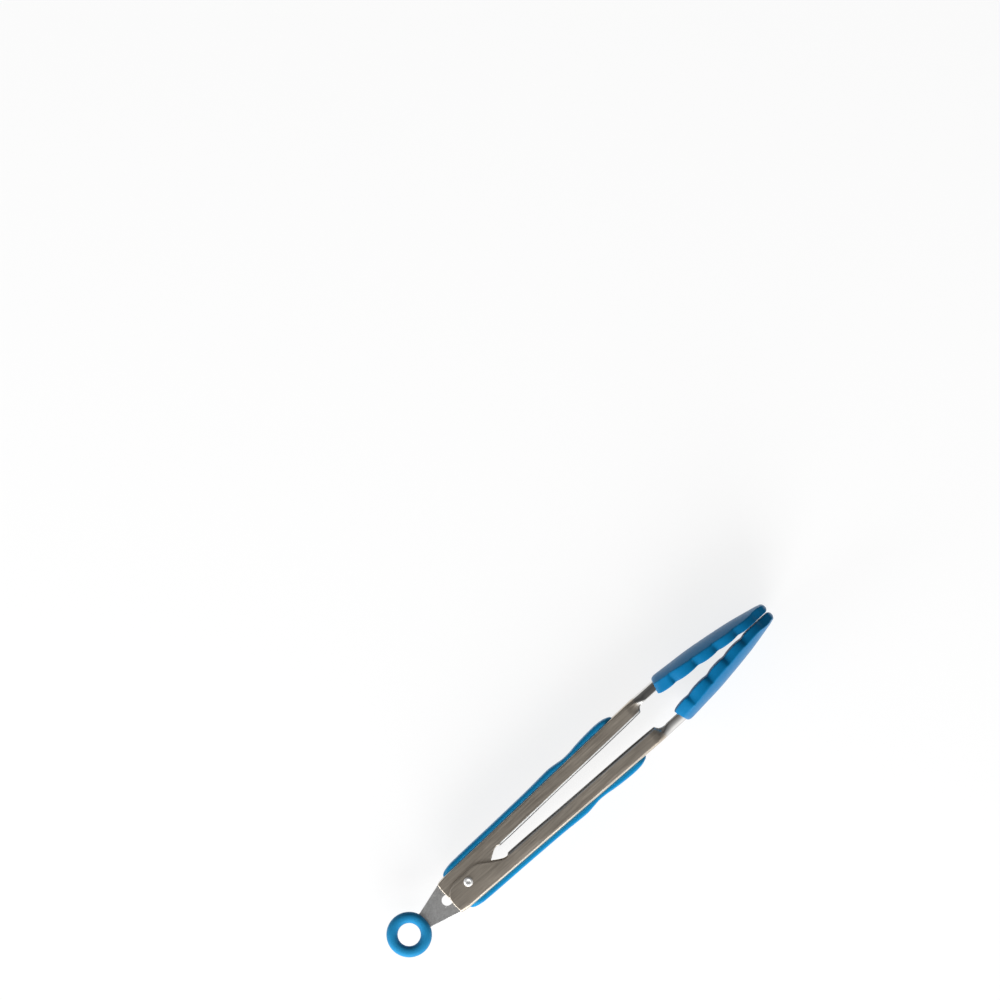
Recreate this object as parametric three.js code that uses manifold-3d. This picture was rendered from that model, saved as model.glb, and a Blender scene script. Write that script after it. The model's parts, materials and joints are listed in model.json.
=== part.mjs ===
// Spring loaded kitchen tongs, closed and locked, lying on their side. Millimetres, +Z up.
// The tongs run along X with the heads towards +X. The pivot rivet stands along Z.
// Every shape is drawn round the pivot, with the arm in hand towards +Y, and the lower one is its mirror.
import * as THREE from "three";
import { LoftGeometry } from "three/addons/geometries/LoftGeometry.js";
import { mergeVertices } from "three/addons/utils/BufferGeometryUtils.js";
import Module from "manifold-3d";

const wasm = await Module();
wasm.setup();

const GAP = 0.3; // clearance between neighbours
const SHEET = 0.9; // arm sheet thickness
const BEND = 1.3; // outer bend radius of the channel

const ARM_HALF = 9.75; // lower arm's half-width along the rivet
const NESTED_HALF = ARM_HALF - SHEET - GAP; // upper arm's, so that its ears turn between the lower arm's
const TAPER_FROM = 112; // from here the channel narrows towards the neck
const ARM_END = 119; // the channel turns into the neck here
const NECK_HALF = 7.6;
const NECK_DEPTH = 4.4; // how far the neck's side curls reach down
const TONGUE_END = 150; // the steel tongue ends inside the head

const SHANK_R = 1.5;
const RIVET_HEAD_R = 2.25;
const RIVET_HEAD = 0.8;
const SLEEVE_R = 2.3;
const HOLE_R = SHANK_R + GAP;
const STACK_HALF = NESTED_HALF - SHEET; // inner face of the upper arm's ears

const PLATE = 1.2; // lock plate thickness
const TRAVEL = 13.8; // how far the lock plate slides
const SLOT_R = 2.55;
const WING_X = -12; // the plate's widest place when pulled out
const WING_HALF = 8.5;
const NOTCH_HALF = 1.2; // cut in each arm's back for the plate's wings
const NOTCH_FRONT = -5;
const WASHER = 0.5;

const RING_X = -38.1;
const RING_R = 10.9;
const RING_HOLE = 5.5;
const RING_HALF = 3.1; // half of the ring's thickness

const WIRE_R = 0.5;
const COIL_R = 3.6; // wire centre radius
const COIL_PITCH = 1.06;
const HALF_TURNS = 1.5; // turns in each half of the spring
const LEG_END = 34;

const STUDS = [8, 50, 92]; // where the grip's studs pass through the arm's back
const STUD_R = 1.6;
const BUTTON_R = 2.6;
const GRIP_HALF = 7.8;

const HEAD_START = 127.3;
const TIP = 193;
const HEAD_HALF = 17;
const DENTS = [137.5, 150.4, 162.2, 174.2, 186.3]; // valleys of the scalloped edge
const SKIN = 1.2; // silicone over the core
const CORE = 1.6;
const CORE_END = 180;

const PIVOT = new THREE.Vector3(-72, 0, HEAD_HALF); // the pivot, from the middle of the resting face

const STEEL = new THREE.MeshStandardMaterial({ color: 0x8f877d, roughness: 0.34, metalness: 1 });
const PLAIN_STEEL = new THREE.MeshStandardMaterial({ color: 0x9a9a98, roughness: 0.42, metalness: 1 });
const BLUE = new THREE.MeshStandardMaterial({ color: 0x1f7fb8, roughness: 0.55, metalness: 0 });
const NYLON = new THREE.MeshStandardMaterial({ color: 0x2b2c2e, roughness: 0.6, metalness: 0 });

const armOuter = (x) => 9.6 + 0.0232 * x;
const armInner = (x) => 2.1 + 0.0241 * x;

// Reads a value off a short list of [x, value] pairs, straight between them.
function along(pairs, x) {
  const after = pairs.findIndex(([at]) => at >= x);
  if (after === -1) return pairs.at(-1)[1];
  if (after === 0) return pairs[0][1];
  const [x0, v0] = pairs[after - 1];
  const [x1, v1] = pairs[after];
  return THREE.MathUtils.mapLinear(x, x0, x1, v0, v1);
}

function solid(geometry) {
  geometry.deleteAttribute("normal");
  geometry.deleteAttribute("uv");
  const merged = mergeVertices(geometry, 1e-4);
  const vertProperties = merged.attributes.position.array;
  const triVerts = new Uint32Array(merged.index.array);
  return new wasm.Manifold(new wasm.Mesh({ numProp: 3, vertProperties, triVerts }));
}

function geometryOf(body) {
  const { vertProperties, triVerts } = body.getMesh();
  const geometry = new THREE.BufferGeometry();
  geometry.setAttribute("position", new THREE.BufferAttribute(vertProperties, 3));
  geometry.setIndex(new THREE.BufferAttribute(triVerts, 1));
  geometry.computeVertexNormals();
  return geometry;
}

// A flat outline given thickness along Z, from low to high.
function slab(shape, low, high) {
  const settings = { depth: high - low, bevelEnabled: false, curveSegments: 6 };
  return solid(new THREE.ExtrudeGeometry(shape, settings).translate(0, 0, low));
}

// A closed body through sections along X. sectionAt(x) lists [z, y] round the body.
function loft(stations, sectionAt) {
  const sections = stations.map((x) => sectionAt(x).map(([z, y]) => new THREE.Vector3(x, y, z)));
  return new THREE.BufferGeometry().copy(new LoftGeometry(sections, { capStart: true, capEnd: true }));
}

// A body turned round the Z axis at (x, 0). The profile lists [radius, z].
function turned(profile, x = 0, segments = 24) {
  const points = profile.map(([r, z]) => new THREE.Vector2(r, z));
  return new THREE.LatheGeometry(points, segments).rotateX(Math.PI / 2).translate(x, 0, 0);
}

function tube(inner, outer, low, high, segments = 24) {
  return turned([[inner, low], [outer, low], [outer, high], [inner, high], [inner, low]], 0, segments);
}

function disc(radius, low, high, x = 0, segments = 20) {
  return solid(turned([[0, low], [radius, low], [radius, high], [0, high]], x, segments));
}

// A stud along Y, standing between two heights over the point (x, 0).
function stud(radius, x, low, high) {
  return solid(new THREE.CylinderGeometry(radius, radius, high - low, 14).translate(x, (low + high) / 2, 0));
}

// Side outline of an arm: back edge, rear chamfer, round ear lobe, crotch, long inner edge, slanted front.
function armOutline() {
  const outline = new THREE.Shape();
  outline.moveTo(ARM_END, armOuter(ARM_END));
  outline.lineTo(-6, armOuter(-6));
  outline.lineTo(-11.9, 8.6);
  outline.quadraticCurveTo(-12.7, 4.5, -12.2, 1.7);
  outline.bezierCurveTo(-11.5, -1.5, -8.4, -4.4, -4, -4.4);
  outline.lineTo(6.3, -4.4);
  outline.quadraticCurveTo(7.8, -4.3, 11, -2.2);
  outline.lineTo(17.3, 1.9);
  outline.quadraticCurveTo(20, 3.7, 21.6, 3.6);
  outline.quadraticCurveTo(22.4, 3.2, 22.9, armInner(22.9));
  outline.lineTo(115, armInner(115));
  outline.lineTo(116.5, 7.5);
  outline.quadraticCurveTo(117.2, 8.2, ARM_END, 8.3);
  return outline;
}

// The rounded box that the channel is bent round, reaching far below the arm.
function channelBlank(halfAt, inset, reach) {
  const stations = [-20, TAPER_FROM, ARM_END, ARM_END + reach];
  return solid(
    loft(stations, (x) => {
      const half = halfAt(x) - inset;
      const top = armOuter(x) - inset;
      const radius = BEND - inset;
      const left = [];
      for (let i = 0; i <= 4; i++) {
        const turn = (i / 4) * (Math.PI / 2);
        left.push([-half + radius * (1 - Math.cos(turn)), top - radius * (1 - Math.sin(turn))]);
      }
      const right = left.map(([z, y]) => [-z, y]).reverse();
      return [[-half, -30], ...left, ...right, [half, -30]];
    }),
  );
}

const tongueTop = (x) => headBack(Math.max(x, 130)) - SKIN - GAP;
const curlDepth = (x) => along([[126.3, NECK_DEPTH], [129, SHEET]], x);

// Polished trough from the channel to the head, running on as a flat tongue inside the head.
function neck() {
  return solid(
    loft([117.5, 120, 126.3, 127.6, 129, 130.5, 135, 140, 145, TONGUE_END], (x) => {
      const top = tongueTop(x);
      const low = top - curlDepth(x);
      const curl = (curlDepth(x) - SHEET) / (NECK_DEPTH - SHEET);
      const half = pocketHalf(x) - GAP;
      const corner = 0.4 + 0.8 * curl;
      const rib = top - SHEET - 0.9 * curl;
      const left = [[-half, low], [0.4 - half, top - corner], [2 - half, top]];
      const under = [[2.4 - half, top - SHEET], [1.2 - half, rib], [SHEET - half, low]];
      const mirrored = (points) => points.map(([z, y]) => [-z, y]).reverse();
      return [...left, ...mirrored(left), ...mirrored(under), ...under];
    }),
  );
}

// One stamped arm: channel, ears, neck, stud holes and the notch for the lock plate.
function armGeometry(half) {
  const halfAt = (x) => along([[TAPER_FROM, half], [ARM_END, NECK_HALF]], x);
  const blank = channelBlank(halfAt, 0, 5).intersect(slab(armOutline(), -ARM_HALF - 1, ARM_HALF + 1));
  let body = blank.subtract(channelBlank(halfAt, SHEET, 9)).add(neck());
  body = body.subtract(disc(HOLE_R, -20, 20));
  for (const x of STUDS) body = body.subtract(stud(STUD_R + GAP, x, 7, 14));
  const notch = new THREE.BoxGeometry(12, 8, 2 * NOTCH_HALF).translate(NOTCH_FRONT - 6, 9.5, 0);
  return geometryOf(body.subtract(solid(notch)));
}

// Soft pad on the arm's back with a thumb dip and a raised front lobe, held by moulded studs.
function gripGeometry() {
  const heights = [
    [-7.3, 10.3], [-5.2, 11.4], [0, 12.2], [27, 12.8], [50, 13.4], [64, 14.1], [70, 13.4], [75, 13.2],
    [80, 13.8], [88, 14.5], [94, 14.75], [99.5, 14.2], [103, 12.7],
  ];
  const crown = new THREE.SplineCurve(heights.map(([x, y]) => new THREE.Vector2(x, y)));
  const tops = crown.getPoints(36).map((p) => [p.x, p.y]);
  const halves = [[-7.3, 4.6], [-5.2, 6.8], [-1, GRIP_HALF], [97, GRIP_HALF], [101, 6.8], [103, 4.8]];
  const pad = loft(tops.map(([x]) => x), (x) => {
    const low = armOuter(x) + GAP;
    const top = along(tops, x);
    const half = along(halves, x);
    const round = Math.min(1.1, (top - low) * 0.7);
    const over = [[-half, top - round], [-half + round * 0.5, top - round * 0.2], [-half + round * 1.4, top]];
    return [[-half, low], ...over, ...over.map(([z, y]) => [-z, y]).reverse(), [half, low]];
  });
  let body = solid(pad);
  for (const x of STUDS) {
    const web = armOuter(x) - SHEET;
    body = body.add(stud(STUD_R, x, web - 1, armOuter(x) + 1)).add(stud(BUTTON_R, x, web - 1.2, web - GAP));
  }
  return geometryOf(body);
}

// Head profile lines, as heights from the tongs' middle plane.
function headBack(x) {
  const line = [
    [127, 12.9], [128.2, 13.5], [130, 13.8], [135, 13.5], [140, 13.1], [150, 12.3], [160, 11], [170, 9.5],
    [175.5, 8.6], [180, 7.6], [185, 6.5], [190, 5.3], [191.6, 4.7], [TIP, 3],
  ];
  return along(line, x);
}

function headSide(x) {
  const line = [
    [127, 10.9], [139, 9.4], [151.5, 7.5], [162, 6.3], [174.8, 4.9], [183, 4.3], [188, 4.2],
    [191.5, 3.5], [TIP, 2.3],
  ];
  return along(line, x);
}

function headEdge(x) {
  const line = [
    [127, 6], [130, 4.9], [134, 4.1], [141, 3.4], [150, 3], [155, 2.2], [164, 1.5], [174, 0.8],
    [177, 0.35], [190, 0.35], [192, 0.7], [TIP, 1.4],
  ];
  return along(line, x);
}

function headHalf(x) {
  const plain = [
    [127, 10.4], [132, 13], [138, 15.4], [146, 16.7], [155.8, HEAD_HALF], [168, 16.6], [178, 15],
    [185, 12.6], [190, 9.4], [192, 7], [TIP, 4.8],
  ];
  const dent = DENTS.reduce((sum, at) => sum + Math.exp(-(((x - at) / 1.9) ** 2)), 0);
  return along(plain, x) - 1.3 * dent;
}

function headSection(x) {
  const half = headHalf(x);
  const side = headSide(x);
  const edge = headEdge(x);
  const lip = Math.min(2.6, half * 0.3);
  const thick = SKIN + GAP + SHEET + GAP + CORE + GAP + SKIN;
  const cup = Math.max(headBack(x) - thick, edge + 0.3);
  const rise = Math.min(0.6, (side - edge) * 0.3);
  const back = [];
  for (let i = 1; i < 8; i++) {
    const turn = Math.PI * (i / 8);
    back.push([-half * Math.cos(turn), side + (headBack(x) - side) * Math.sin(turn) ** 0.75]);
  }
  const inside = [];
  for (let i = 1; i < 6; i++) {
    const share = 1 - i / 3;
    inside.push([(half - lip) * share, edge + rise * 0.3 + (cup - edge - rise * 0.3) * (1 - share ** 2)]);
  }
  const left = [[lip - half, edge + rise * 0.3], [0.7 - half, edge], [-half, edge + rise], [-half, side]];
  const right = left.map(([z, y]) => [-z, y]).reverse();
  return [...left, ...back, ...right, ...inside];
}

// The pocket moulded round the steel tongue and the core, open at the neck.
function headPocket() {
  const step = TONGUE_END + 0.6;
  const stations = [HEAD_START - 2, HEAD_START, 129, 131, 135, 140, step, step + 0.1, 165, 175, 180.3];
  const sectionAt = (x) => {
    const stack = tongueTop(x) - SHEET - GAP;
    const top = x > step ? stack : tongueTop(x) + GAP;
    const low = Math.min(tongueTop(x) - curlDepth(x) - GAP, stack - CORE - GAP);
    const half = pocketHalf(x);
    const left = [[-half, low], [-half, top - 0.4], [0.4 - half, top]];
    return [...left, ...left.map(([z, y]) => [-z, y]).reverse()];
  };
  return solid(loft(stations, sectionAt));
}

function pocketHalf(x) {
  return along([[165, NECK_HALF + GAP], [175, 7.5], [CORE_END + 1, 6]], x);
}

// Silicone head: back, scalloped side walls and a cupped gripping face.
function headGeometry() {
  const stations = [HEAD_START, 128.2, 130];
  for (let x = 132.6; x < 190; x += 2.32) stations.push(x);
  stations.push(190, 191.5, 192.4, TIP);
  return geometryOf(solid(loft(stations, headSection)).subtract(headPocket()));
}

// Stiff tongue inside the silicone, on the gripping side of the arm's steel tongue.
function coreGeometry() {
  const bar = loft([131, 135, 140, 150, 160, 170, 175, CORE_END], (x) => {
    const top = tongueTop(x) - SHEET - GAP - (x > TONGUE_END ? GAP : 0);
    const half = pocketHalf(x) - GAP - 0.6;
    const left = [[-half, top - CORE], [-half, top - 0.6], [1 - half, top]];
    return [...left, ...left.map(([z, y]) => [-z, y]).reverse()];
  });
  return geometryOf(solid(bar));
}

// Half of the torsion spring: a leg lying along the arm's back, then turns round the sleeve.
function springHalfGeometry(isLower) {
  const reach = armOuter(LEG_END) - SHEET - GAP - WIRE_R;
  const points = [[LEG_END, reach, 0], [18, 6.2, 0], [5, 4.45, 0]].map((p) => new THREE.Vector3(...p));
  for (let i = 0; i <= 24; i++) {
    const wound = (i / 24) * HALF_TURNS;
    const angle = Math.PI / 2 + 0.3 + wound * 2 * Math.PI;
    points.push(new THREE.Vector3(COIL_R * Math.cos(angle), COIL_R * Math.sin(angle), wound * COIL_PITCH));
  }
  const path = new THREE.CatmullRomCurve3(points, false, "centripetal");
  const section = new THREE.Shape().absarc(0, 0, WIRE_R, 0, 2 * Math.PI, false);
  const geometry = new THREE.ExtrudeGeometry(section, { steps: 56, extrudePath: path, curveSegments: 4 });
  const low = PLATE / 2 + GAP + WASHER + GAP + WIRE_R;
  const high = low + 2 * HALF_TURNS * COIL_PITCH + 2 * WIRE_R + GAP;
  return isLower ? geometry.rotateX(Math.PI).translate(0, 0, high) : geometry.translate(0, 0, low);
}

// Lock plate: taper, two wings, the slot round the sleeve and the ring-shaped end inside the pull ring.
function lockPlateGeometry() {
  const shape = new THREE.Shape();
  shape.moveTo(-31, 3.9);
  shape.lineTo(-31, -3.9);
  shape.lineTo(-27.2, -4.3);
  shape.lineTo(WING_X, -WING_HALF);
  shape.lineTo(WING_X + 1.2, -WING_HALF);
  shape.quadraticCurveTo(-9.2, -6.8, -5.5, -5.4);
  shape.lineTo(1.5, -5);
  shape.quadraticCurveTo(6.5, -5, 6.5, 0);
  shape.quadraticCurveTo(6.5, 5, 1.5, 5);
  shape.lineTo(-5.5, 5.4);
  shape.quadraticCurveTo(-9.2, 6.8, WING_X + 1.2, WING_HALF);
  shape.lineTo(WING_X, WING_HALF);
  shape.lineTo(-27.2, 4.3);
  const slot = new THREE.Path();
  slot.absarc(-TRAVEL, 0, SLOT_R, Math.PI / 2, 1.5 * Math.PI, false);
  slot.absarc(0, 0, SLOT_R, -Math.PI / 2, Math.PI / 2, false);
  shape.holes.push(slot);
  const face = PLATE / 2;
  const eye = turned([[7, -face], [9.2, -face], [9.2, face], [7, face], [7, -face]], RING_X, 32);
  return geometryOf(slab(shape, -face, face).add(solid(eye)));
}

// Pull ring moulded round the plate's eye, with the slit where the plate enters.
function pullRingGeometry() {
  const middle = (RING_R + RING_HOLE) / 2;
  const half = (RING_R - RING_HOLE) / 2;
  const profile = [];
  for (let i = 0; i <= 14; i++) {
    const turn = (-i / 14) * 2 * Math.PI;
    profile.push([middle + half * Math.cos(turn), -RING_HALF * Math.sin(turn)]);
  }
  const room = PLATE / 2 + GAP;
  const groove = [[7 - GAP, -room], [9.2 + GAP, -room], [9.2 + GAP, room], [7 - GAP, room], [7 - GAP, -room]];
  const slit = new THREE.BoxGeometry(5, 2 * (4.4 + GAP), 2 * room).translate(-28.2, 0, 0);
  const body = solid(turned(profile, RING_X, 32));
  return geometryOf(body.subtract(solid(turned(groove, RING_X, 32))).subtract(solid(slit)));
}

// Rivet: domed near head with the dimple of a hollow shank, and a spread tail over the washer.
function rivetGeometry() {
  const top = ARM_HALF + GAP;
  const tail = -ARM_HALF - 2 * GAP - WASHER;
  return turned([
    [0, tail - RIVET_HEAD], [1.7, tail - RIVET_HEAD], [RIVET_HEAD_R, tail - 0.3], [RIVET_HEAD_R, tail],
    [SHANK_R, tail], [SHANK_R, top], [RIVET_HEAD_R, top], [RIVET_HEAD_R, top + 0.35], [1.7, top + RIVET_HEAD],
    [0.95, top + RIVET_HEAD], [0.7, top + 0.4], [0, top + 0.3],
  ], 0, 28);
}

const tongs = new THREE.Group();
tongs.position.copy(PIVOT);

function place(name, geometry, material, flipped = false) {
  const mesh = new THREE.Mesh(geometry, material);
  mesh.name = name;
  if (flipped) mesh.scale.y = -1;
  tongs.add(mesh);
}

place("upper_arm", armGeometry(NESTED_HALF), STEEL);
place("lower_arm", armGeometry(ARM_HALF), STEEL, true);

const grip = gripGeometry();
const head = headGeometry();
const core = coreGeometry();
for (const [side, flipped] of [["upper", false], ["lower", true]]) {
  place(`${side}_grip`, grip, BLUE, flipped);
  place(`${side}_head`, head, BLUE, flipped);
  place(`${side}_head_core`, core, NYLON, flipped);
}

const plateFace = PLATE / 2 + GAP;
const stackEnd = STACK_HALF - GAP;
place("pivot_rivet", rivetGeometry(), PLAIN_STEEL);
place("rivet_washer", tube(HOLE_R, 3.6, -ARM_HALF - GAP - WASHER, -ARM_HALF - GAP), PLAIN_STEEL);
place("pivot_sleeve", tube(HOLE_R, SLEEVE_R, -stackEnd, stackEnd), NYLON);
place("spring_side_washer", tube(SLEEVE_R + GAP, 5, plateFace, plateFace + WASHER), NYLON);
place("spacer_side_washer", tube(SLEEVE_R + GAP, 5, -plateFace - WASHER, -plateFace), NYLON);
place("spacer_collar", tube(SLEEVE_R + GAP, 4.4, -stackEnd, -plateFace - WASHER - GAP), NYLON);
place("spring_upper_half", springHalfGeometry(false), PLAIN_STEEL);
place("spring_lower_half", springHalfGeometry(true), PLAIN_STEEL);
place("lock_plate", lockPlateGeometry(), PLAIN_STEEL);
place("pull_ring", pullRingGeometry(), BLUE);

export default tongs;
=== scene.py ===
import json
import math
import bmesh
import bpy
import numpy as np
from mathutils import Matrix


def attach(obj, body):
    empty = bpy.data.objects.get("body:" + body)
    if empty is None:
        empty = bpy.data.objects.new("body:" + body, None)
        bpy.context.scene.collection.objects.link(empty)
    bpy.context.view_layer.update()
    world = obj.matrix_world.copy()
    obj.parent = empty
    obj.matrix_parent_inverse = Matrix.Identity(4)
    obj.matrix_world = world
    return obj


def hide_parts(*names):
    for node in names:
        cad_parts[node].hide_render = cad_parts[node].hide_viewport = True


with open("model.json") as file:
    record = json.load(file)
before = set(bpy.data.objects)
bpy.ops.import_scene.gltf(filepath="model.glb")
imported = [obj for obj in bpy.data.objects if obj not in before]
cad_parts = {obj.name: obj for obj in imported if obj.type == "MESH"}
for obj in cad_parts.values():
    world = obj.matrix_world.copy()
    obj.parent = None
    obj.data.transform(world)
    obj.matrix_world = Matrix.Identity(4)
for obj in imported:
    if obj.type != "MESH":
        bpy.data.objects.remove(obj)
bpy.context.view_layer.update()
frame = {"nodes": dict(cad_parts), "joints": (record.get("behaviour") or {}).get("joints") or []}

# ---- View, light and floor -------------------------------------------------------------------------
# The tongs lie on their side on a plain white table and are seen from straight above. A broad low light
# stands below the view with a small one at its left, and the sky is dark overhead and towards the top of
# the view, so faces turned down the view are bright and flat steel is a mid grey.

PIVOT = np.array(next(j["pos_m"] for j in frame["joints"] if j["type"] == "hinge"))
TURN = math.radians(-42.1)
FIELD = 0.4775
DISTANCE = 5.0
SENSOR_WIDTH = 36
LOOK_AT = PIVOT + np.array([0.1332, 0.1249, 0.0])
VIEW_UP = (-math.sin(TURN), math.cos(TURN), 0)
TABLE_HALF = 3.0

camera = bpy.data.objects.new("overhead_camera", bpy.data.cameras.new("overhead_camera"))
bpy.context.collection.objects.link(camera)
camera.data.sensor_width = SENSOR_WIDTH
camera.data.lens = SENSOR_WIDTH * DISTANCE / FIELD
camera.location = LOOK_AT + np.array([0, 0, DISTANCE])
camera.rotation_euler = (0, 0, TURN)
bpy.context.scene.camera = camera
bpy.context.scene.view_settings.view_transform = "Standard"


def add(tree, kind, inputs=None, **settings):
    """One shader node with its settings. Each input is given a value or linked from another node's output."""
    node = tree.nodes.new(kind)
    for key, value in settings.items():
        setattr(node, key, value)
    for key, value in (inputs or {}).items():
        if isinstance(value, bpy.types.NodeSocket):
            tree.links.new(value, node.inputs[key])
        else:
            node.inputs[key].default_value = value
    return node


def softbox(name, across, up, height, size, power):
    """Square area light aimed at the origin, placed by its distance across and up the view and its height."""
    light = bpy.data.lights.new(name, "AREA")
    light.size = size
    light.energy = power
    holder = bpy.data.objects.new(name, light)
    bpy.context.collection.objects.link(holder)
    right = np.array([math.cos(TURN), math.sin(TURN), 0])
    spot = across * right + up * np.array(VIEW_UP) + np.array([0, 0, height])
    holder.location = spot
    aim = -spot / np.linalg.norm(spot)
    holder.rotation_euler = (math.acos(-aim[2]), 0, math.atan2(aim[1], aim[0]) - math.pi / 2)


softbox("low_key", 0.0, -1.5, 0.65, 1.2, 35)
softbox("left_fill", -1.4, -0.85, 0.45, 0.6, 12)

world = bpy.data.worlds.new("studio")
bpy.context.scene.world = world
world.use_nodes = True
sky = world.node_tree
ray = add(sky, "ShaderNodeTexCoord")
height = add(sky, "ShaderNodeSeparateXYZ", {"Vector": ray.outputs["Generated"]})
shade = add(sky, "ShaderNodeValToRGB", {"Fac": height.outputs["Z"]})
shade.color_ramp.elements[0].color = (1.0, 1.0, 1.0, 1)
shade.color_ramp.elements[1].color = (0.24, 0.235, 0.23, 1)
for position, tone in ((0.5, 0.85), (0.8, 0.48), (0.94, 0.34)):
    shade.color_ramp.elements.new(position).color = (tone, tone, tone, 1)
up_view = add(sky, "ShaderNodeVectorMath", {
    0: ray.outputs["Generated"], 1: VIEW_UP}, operation="DOT_PRODUCT")
lean = add(sky, "ShaderNodeMapRange", {
    "Value": up_view.outputs["Value"], "From Min": -0.8, "From Max": 0.6,
    "To Min": 1.25, "To Max": 0.15}, interpolation_type="SMOOTHSTEP")
sky.links.new(shade.outputs["Color"], sky.nodes["Background"].inputs["Color"])
sky.links.new(lean.outputs["Result"], sky.nodes["Background"].inputs["Strength"])

floor_mesh = bpy.data.meshes.new("table_top")
corners = [(x * TABLE_HALF, y * TABLE_HALF, 0) for x, y in ((-1, -1), (1, -1), (1, 1), (-1, 1))]
floor_mesh.from_pydata(corners, [], [(0, 1, 2, 3)])
floor = bpy.data.objects.new("table_top", floor_mesh)
bpy.context.collection.objects.link(floor)
white_table = bpy.data.materials.new("white_table")
white_table.use_nodes = True
table_skin = white_table.node_tree.nodes["Principled BSDF"]
table_skin.inputs["Base Color"].default_value = (0.22, 0.22, 0.22, 1)
table_skin.inputs["Roughness"].default_value = 0.8
table_skin.inputs["Specular IOR Level"].default_value = 0.0
table_skin.inputs["Emission Color"].default_value = (1, 1, 1, 1)
table_skin.inputs["Emission Strength"].default_value = 0.80
floor_mesh.materials.append(white_table)

# ---- Arms ------------------------------------------------------------------------------------------
# Each arm is one stamping of 0.9 mm stainless sheet, folded to a channel, satin brushed along its length.
# The long inner edges are rolled and buffed, the ears at the hinge are plain cut, and the neck is polished.
# Sizes are in millimetres from the rivet: x to the tip, y off the middle plane, z along the rivet.

SHEET = 0.9
ARM_HALF = 9.75
NESTED_HALF = 8.55
NECK_HALF = 7.6
NECK_START = 117.5
TONGUE_END = 150
NOTCH_REAR = (-16, 5.5, -1.2)
NOTCH_FRONT = (-5, 12, 1.2)
SMOOTH_LIMIT = math.radians(50)
# The line of the long inner edge: its height off the middle plane at the rivet, and its rise along x.
EDGE_AT_PIVOT = 2.11
EDGE_RISE = 0.02402


def arm_top(x):
    """Height of the arm's back over the middle plane: a straight line that rises slowly to the head."""
    return 9.6 + 0.0232 * x


def through(points, at):
    """Smooth line through a few (x, value) points: a cubic on each span, its slope at a point the harmonic
    mean of the slopes either side, and flat where the line turns back, so it never overshoots."""
    x, y = np.array(points, float).T
    step = np.diff(x)
    slope = np.diff(y) / step
    inner = np.zeros(len(x) - 2)
    same = slope[:-1] * slope[1:] > 0
    inner[same] = 2 * slope[:-1][same] * slope[1:][same] / (slope[:-1][same] + slope[1:][same])
    tangent = np.concatenate([slope[:1], inner, slope[-1:]])
    at = np.clip(at, x[0], x[-1])
    i = np.clip(np.searchsorted(x, at) - 1, 0, len(step) - 1)
    t = (at - x[i]) / step[i]
    rise = (3 - 2 * t) * t * t
    bend = step[i] * (t * (1 - t) ** 2 * tangent[i] - t * t * (1 - t) * tangent[i + 1])
    return y[i] + rise * (y[i + 1] - y[i]) + bend


def spread(*stops):
    """Stations along a length: each stop is (from, to, count), evenly spaced, and its last point is the
    first one of the next stop."""
    rows = [np.linspace(a, b, n, endpoint=False) for a, b, n in stops]
    return np.concatenate(rows + [[stops[-1][1]]])


def surface(name, grid, wrap_rows=False, extra=()):
    """Mesh over an array of points [row, column, xyz] in millimetres round the pivot: a quad between every
    four neighbours, the columns and, if asked, the rows joined end to end, and any extra faces."""
    rows, columns = grid.shape[:2]
    i = np.arange(rows if wrap_rows else rows - 1)[:, None]
    j = np.arange(columns)[None, :]
    i2, j2 = (i + 1) % rows, (j + 1) % columns
    quads = np.stack([i * columns + j, i * columns + j2, i2 * columns + j2, i2 * columns + j], axis=-1)
    mesh = bpy.data.meshes.new(name)
    points = grid.reshape(-1, 3) / 1000 + PIVOT
    mesh.from_pydata(points.tolist(), [], quads.reshape(-1, 4).tolist() + [list(f) for f in extra])
    shape = bmesh.new()
    shape.from_mesh(mesh)
    bmesh.ops.remove_doubles(shape, verts=shape.verts, dist=1e-7)
    bmesh.ops.recalc_face_normals(shape, faces=shape.faces)
    shape.to_mesh(mesh)
    shape.free()
    mesh.shade_smooth()
    piece = bpy.data.objects.new(name, mesh)
    bpy.context.collection.objects.link(piece)
    return piece


def arm_edge(x):
    """Height of the arm's lower edge: an elliptic ear lobe round the rivet, a slope up to the crotch, the
    long inner edge that rises slowly, and a slanted cut up to the shallow neck."""
    lobe = -4.4 + 7.8 * (1 - np.sqrt(np.clip(1 - ((x + 4) / 8.5) ** 2, 0, 1)))
    rest = through([(-4, -4.4), (6.2, -4.4), (8, -3.95), (11, -2.2), (17.3, 1.9), (19.6, 3.15), (21.4, 3.6),
                    (22.3, 3.3), (22.9, 2.66), (60, 3.55), (114.9, 4.87), (115.5, 5.6), (116.4, 6.8),
                    (117.4, 7.3), (119, 7.65), (122, 7.8), (128.5, 7.8), (131, 11), (TONGUE_END, 9.6)], x)
    return np.where(x < -4, lobe, rest)


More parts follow.
